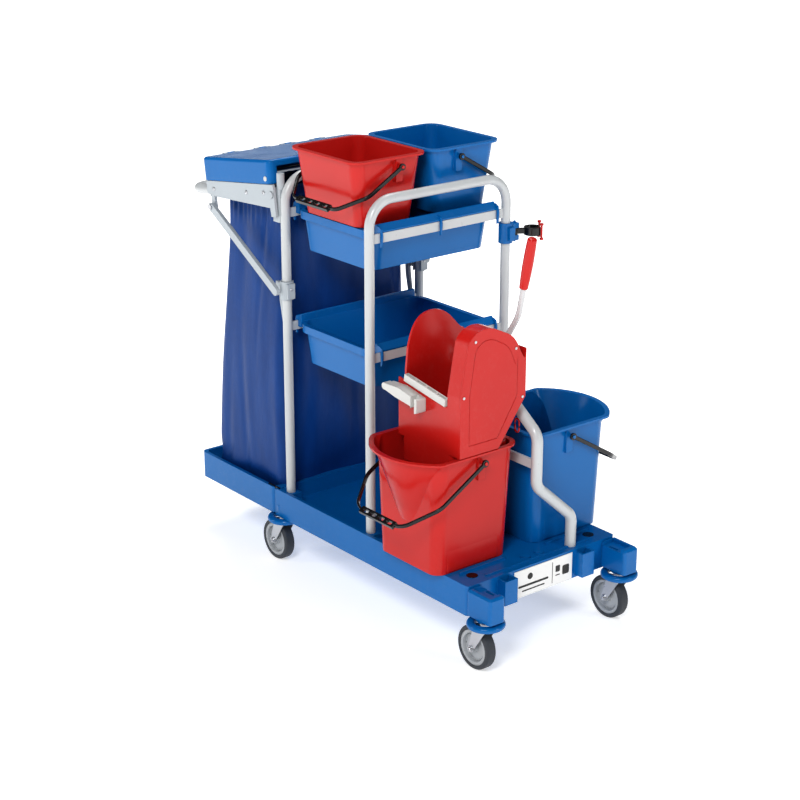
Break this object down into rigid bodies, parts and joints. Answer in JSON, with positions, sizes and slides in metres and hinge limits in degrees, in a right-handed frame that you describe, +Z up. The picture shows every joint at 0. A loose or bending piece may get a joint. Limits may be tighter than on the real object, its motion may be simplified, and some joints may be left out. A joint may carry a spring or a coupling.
{
  "type": "housekeeping cart",
  "caption": "Wheeled cleaning cart with a covered folding bag holder, lift-off trays, bail buckets and a lever mop press.",
  "frame": {"origin": "on the floor, under the centre of the whole cart's bounding box at rest", "axes": "+X points forward to the bucket end, +Y to the cart's left, +Z up"},
  "size_m": [1.133, 0.6544, 1.026],
  "materials": {
    "blue_plastic": "moulded blue plastic, satin gloss",
    "red_plastic": "moulded red plastic, satin gloss",
    "painted_tube": "pale grey powder coat over steel tube",
    "light_grey_plastic": "light grey moulded plastic",
    "white_plastic": "white moulded plastic",
    "black_plastic": "black moulded plastic",
    "bag_fabric": "coated blue woven fabric",
    "zinc_steel": "zinc-plated pressed steel",
    "lever_chrome": "bright plated steel tube",
    "wheel_grey": "light grey wheel plastic",
    "tyre_grey": "dark grey solid tyre",
    "label_film": "blank printed plate with dark fields, no text"
  },
  "bodies": {
    "base": {"platform": "blue_plastic", "bag_tray": "blue_plastic", "deck_trim": "black_plastic", "label_plate": "label_film", "castor_bumpers": "blue_plastic", "castor_stems": "zinc_steel", "front_arch": "painted_tube", "rear_arch": "painted_tube", "tray_rails": "painted_tube", "press_stand": "painted_tube", "clip_collar": "blue_plastic", "hinge_plates": "light_grey_plastic", "press_body": "red_plastic", "press_cover": "red_plastic", "press_channel": "white_plastic", "press_catch": "white_plastic", "press_screws": "zinc_steel", "big_bucket_right": "red_plastic", "bag": "bag_fabric"},
    "upper_tray": {"upper_tray": "blue_plastic"},
    "lower_tray": {"lower_tray": "blue_plastic"},
    "big_bucket_left": {"big_bucket_left": "blue_plastic"},
    "press_jaw": {"press_jaw": "red_plastic", "jaw_knobs": "white_plastic"},
    "press_lever": {"press_lever": "lever_chrome", "lever_grip": "red_plastic"},
    "press_link": {"press_link": "white_plastic"},
    "clip_arm": {"clip_arm": "black_plastic", "clip_rollers": "red_plastic"},
    "bag_holder": {"bracket_right": "light_grey_plastic", "bracket_left": "light_grey_plastic", "push_handle": "painted_tube", "lid_rail": "light_grey_plastic", "bag_frame": "painted_tube", "holder_pins": "zinc_steel"},
    "lid": {"lid": "blue_plastic"},
    "small_bucket_right": {"small_bucket_right": "red_plastic"},
    "small_bail_right": {"small_bail_right": "black_plastic"},
    "big_bail_right": {"big_bail_right": "black_plastic"},
    "strut_right": {"strut_right": "light_grey_plastic"},
    "collar_right": {"collar_right": "light_grey_plastic"},
    "latch_lever_right": {"latch_lever_right": "light_grey_plastic"},
    "castor_fork_front_right": {"castor_fork_front_right": "zinc_steel"},
    "castor_wheel_front_right": {"castor_wheel_front_right": "wheel_grey", "castor_tyre_front_right": "tyre_grey"},
    "castor_fork_rear_right": {"castor_fork_rear_right": "zinc_steel"},
    "castor_wheel_rear_right": {"castor_wheel_rear_right": "wheel_grey", "castor_tyre_rear_right": "tyre_grey"},
    "small_bucket_left": {"small_bucket_left": "blue_plastic"},
    "small_bail_left": {"small_bail_left": "black_plastic"},
    "big_bail_left": {"big_bail_left": "black_plastic"},
    "strut_left": {"strut_left": "light_grey_plastic"},
    "collar_left": {"collar_left": "light_grey_plastic"},
    "latch_lever_left": {"latch_lever_left": "light_grey_plastic"},
    "castor_fork_front_left": {"castor_fork_front_left": "zinc_steel"},
    "castor_wheel_front_left": {"castor_wheel_front_left": "wheel_grey", "castor_tyre_front_left": "tyre_grey"},
    "castor_fork_rear_left": {"castor_fork_rear_left": "zinc_steel"},
    "castor_wheel_rear_left": {"castor_wheel_rear_left": "wheel_grey", "castor_tyre_rear_left": "tyre_grey"}
  },
  "joints": [
    {"name": "small_bucket_lift_right", "type": "slide", "parent": "upper_tray", "child": "small_bucket_right", "axis": [0, 0, 1], "range_m": [0, 0.12]},
    {"name": "small_bail_swing_right", "type": "hinge", "parent": "small_bucket_right", "child": "small_bail_right", "pos_m": [-0.0265, -0.0845, 1.004], "axis": [-1, 0, 0], "range_deg": [0, 120]},
    {"name": "big_bail_swing_right", "type": "hinge", "parent": "base", "child": "big_bail_right", "pos_m": [0.31, -0.128, 0.432], "axis": [-1, 0, 0], "range_deg": [0, 60]},
    {"name": "castor_swivel_front_right", "type": "hinge", "parent": "base", "child": "castor_fork_front_right", "pos_m": [0.524, -0.198, 0.11], "axis": [0, 0, 1], "continuous": true},
    {"name": "castor_roll_front_right", "type": "hinge", "parent": "castor_fork_front_right", "child": "castor_wheel_front_right", "pos_m": [0.496, -0.198, 0.05], "axis": [0, 1, 0], "continuous": true},
    {"name": "castor_swivel_rear_right", "type": "hinge", "parent": "base", "child": "castor_fork_rear_right", "pos_m": [-0.204, -0.198, 0.11], "axis": [0, 0, 1], "continuous": true},
    {"name": "castor_roll_rear_right", "type": "hinge", "parent": "castor_fork_rear_right", "child": "castor_wheel_rear_right", "pos_m": [-0.232, -0.198, 0.05], "axis": [0, 1, 0], "continuous": true},
    {"name": "small_bucket_lift_left", "type": "slide", "parent": "upper_tray", "child": "small_bucket_left", "axis": [0, 0, 1], "range_m": [0, 0.12]},
    {"name": "small_bail_swing_left", "type": "hinge", "parent": "small_bucket_left", "child": "small_bail_left", "pos_m": [-0.0265, 0.0845, 1.004], "axis": [1, 0, 0], "range_deg": [0, 120]},
    {"name": "big_bail_swing_left", "type": "hinge", "parent": "big_bucket_left", "child": "big_bail_left", "pos_m": [0.31, 0.128, 0.432], "axis": [1, 0, 0], "range_deg": [0, 121]},
    {"name": "castor_swivel_front_left", "type": "hinge", "parent": "base", "child": "castor_fork_front_left", "pos_m": [0.524, 0.198, 0.11], "axis": [0, 0, 1], "continuous": true},
    {"name": "castor_roll_front_left", "type": "hinge", "parent": "castor_fork_front_left", "child": "castor_wheel_front_left", "pos_m": [0.496, 0.198, 0.05], "axis": [0, 1, 0], "continuous": true},
    {"name": "castor_swivel_rear_left", "type": "hinge", "parent": "base", "child": "castor_fork_rear_left", "pos_m": [-0.204, 0.198, 0.11], "axis": [0, 0, 1], "continuous": true},
    {"name": "castor_roll_rear_left", "type": "hinge", "parent": "castor_fork_rear_left", "child": "castor_wheel_rear_left", "pos_m": [-0.232, 0.198, 0.05], "axis": [0, 1, 0], "continuous": true},
    {"name": "big_bucket_lift_left", "type": "slide", "parent": "base", "child": "big_bucket_left", "axis": [0, 0, 1], "range_m": [0, 0.3]},
    {"name": "upper_tray_lift", "type": "slide", "parent": "base", "child": "upper_tray", "axis": [0, 0, 1], "range_m": [0, 0.025]},
    {"name": "lower_tray_lift", "type": "slide", "parent": "base", "child": "lower_tray", "axis": [0, 0, 1], "range_m": [0, 0.06]},
    {"name": "bag_holder_fold", "type": "hinge", "parent": "base", "child": "bag_holder", "pos_m": [-0.204, 0, 0.905], "axis": [0, -1, 0], "range_deg": [0, 72], "deforming": ["bag"]},
    {"name": "lid_open", "type": "hinge", "parent": "bag_holder", "child": "lid", "pos_m": [-0.49553, 0, 0.93875], "axis": [0, -1, 0], "range_deg": [0, 100]},
    {"name": "strut_swing_right", "type": "hinge", "parent": "bag_holder", "child": "strut_right", "pos_m": [-0.44048, 0, 0.8344], "axis": [0, 1, 0], "range_deg": [0, 126.93]},
    {"name": "collar_slide_right", "type": "slide", "parent": "base", "child": "collar_right", "axis": [0, 0, -1], "range_m": [0, 0.32084]},
    {"name": "latch_press_right", "type": "hinge", "parent": "collar_right", "child": "latch_lever_right", "pos_m": [-0.213, -0.187, 0.675], "axis": [0, 1, 0], "range_deg": [0, 16], "stiffness_Nm_per_rad": 0.6},
    {"name": "strut_swing_left", "type": "hinge", "parent": "bag_holder", "child": "strut_left", "pos_m": [-0.44048, 0, 0.8344], "axis": [0, 1, 0], "range_deg": [0, 126.93]},
    {"name": "collar_slide_left", "type": "slide", "parent": "base", "child": "collar_left", "axis": [0, 0, -1], "range_m": [0, 0.32084]},
    {"name": "latch_press_left", "type": "hinge", "parent": "collar_left", "child": "latch_lever_left", "pos_m": [-0.213, 0.187, 0.675], "axis": [0, 1, 0], "range_deg": [0, 16], "stiffness_Nm_per_rad": 0.6},
    {"name": "jaw_swing", "type": "hinge", "parent": "base", "child": "press_jaw", "pos_m": [0.2358, 0, 0.425], "axis": [0, 1, 0], "range_deg": [0, 16]},
    {"name": "lever_swing", "type": "hinge", "parent": "base", "child": "press_lever", "pos_m": [0.321, 0, 0.615], "axis": [0, 1, 0], "range_deg": [0, 65]},
    {"name": "link_swing", "type": "hinge", "parent": "press_jaw", "child": "press_link", "pos_m": [0.2478, 0, 0.596], "axis": [0, 1, 0], "range_deg": [-15.48, 0]},
    {"name": "clip_swing", "type": "hinge", "parent": "base", "child": "clip_arm", "pos_m": [0.127, 0.2225, 0.818], "axis": [0, 0, 1], "range_deg": [-45, 60]}
  ],
  "couplings": [
    {"joint": "strut_swing_right", "follows": "bag_holder_fold", "ratio": 1.7629},
    {"joint": "collar_slide_right", "follows": "bag_holder_fold", "m_per_rad": 0.25531},
    {"joint": "strut_swing_left", "follows": "bag_holder_fold", "ratio": 1.7629},
    {"joint": "collar_slide_left", "follows": "bag_holder_fold", "m_per_rad": 0.25531},
    {"joint": "jaw_swing", "follows": "lever_swing", "ratio": 0.24615},
    {"joint": "link_swing", "follows": "lever_swing", "ratio": -0.23815}
  ]
}
